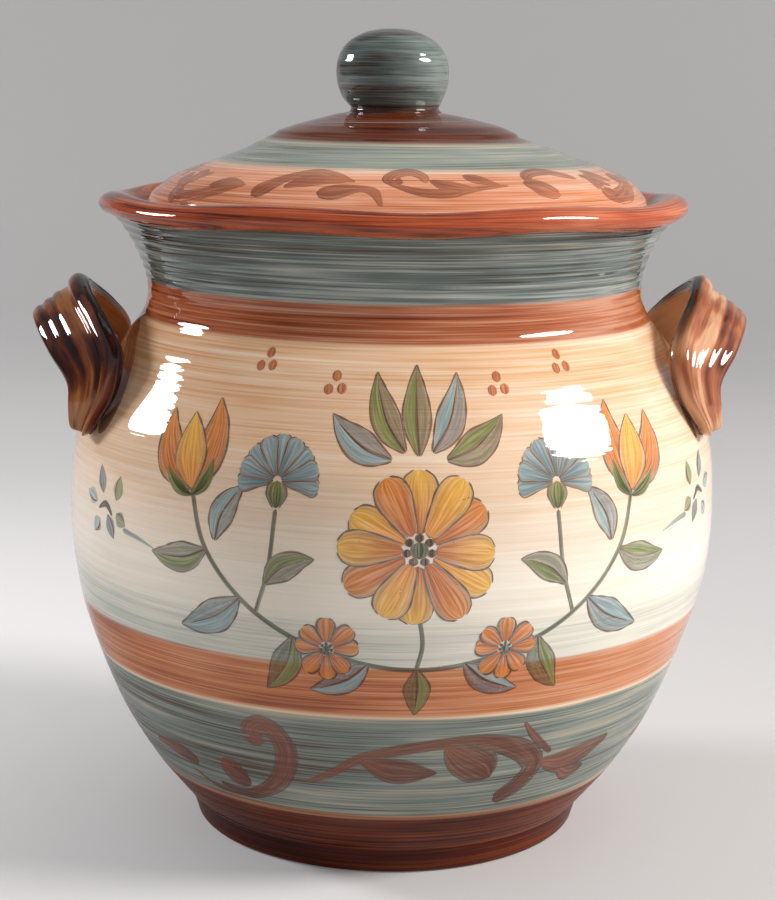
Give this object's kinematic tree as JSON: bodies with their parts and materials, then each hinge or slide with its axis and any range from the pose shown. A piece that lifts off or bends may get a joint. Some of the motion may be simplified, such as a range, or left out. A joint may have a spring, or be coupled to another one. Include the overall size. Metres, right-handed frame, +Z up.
{
  "type": "biscuit jar",
  "caption": "Round-bellied glazed stoneware jar with a small foot, flared neck, rolled lip, strap lug handles and a loose domed lid with a ball knob.",
  "frame": {"origin": "centre of the foot's resting face, on the jar's axis", "axes": "+Z up along the jar's axis, -Y towards the front, +X towards the right-hand handle"},
  "size_m": [0.2306, 0.2122, 0.26],
  "materials": {
    "body_glaze": "gloss",
    "brown_glaze": "gloss",
    "lid_glaze": "gloss",
    "knob_glaze": "gloss"
  },
  "bodies": {
    "jar": {"jar_body": "body_glaze", "flared_neck": "body_glaze", "foot_ring": "brown_glaze", "rolled_rim": "brown_glaze", "handle_left": "brown_glaze", "handle_right": "brown_glaze"},
    "lid": {"lid_dome": "lid_glaze", "lid_flange": "body_glaze", "knob": "knob_glaze"}
  },
  "joints": [
    {"name": "lid_lift", "type": "slide", "parent": "jar", "child": "lid", "axis": [0, 0, 1], "range_m": [0, 0.12]}
  ]
}
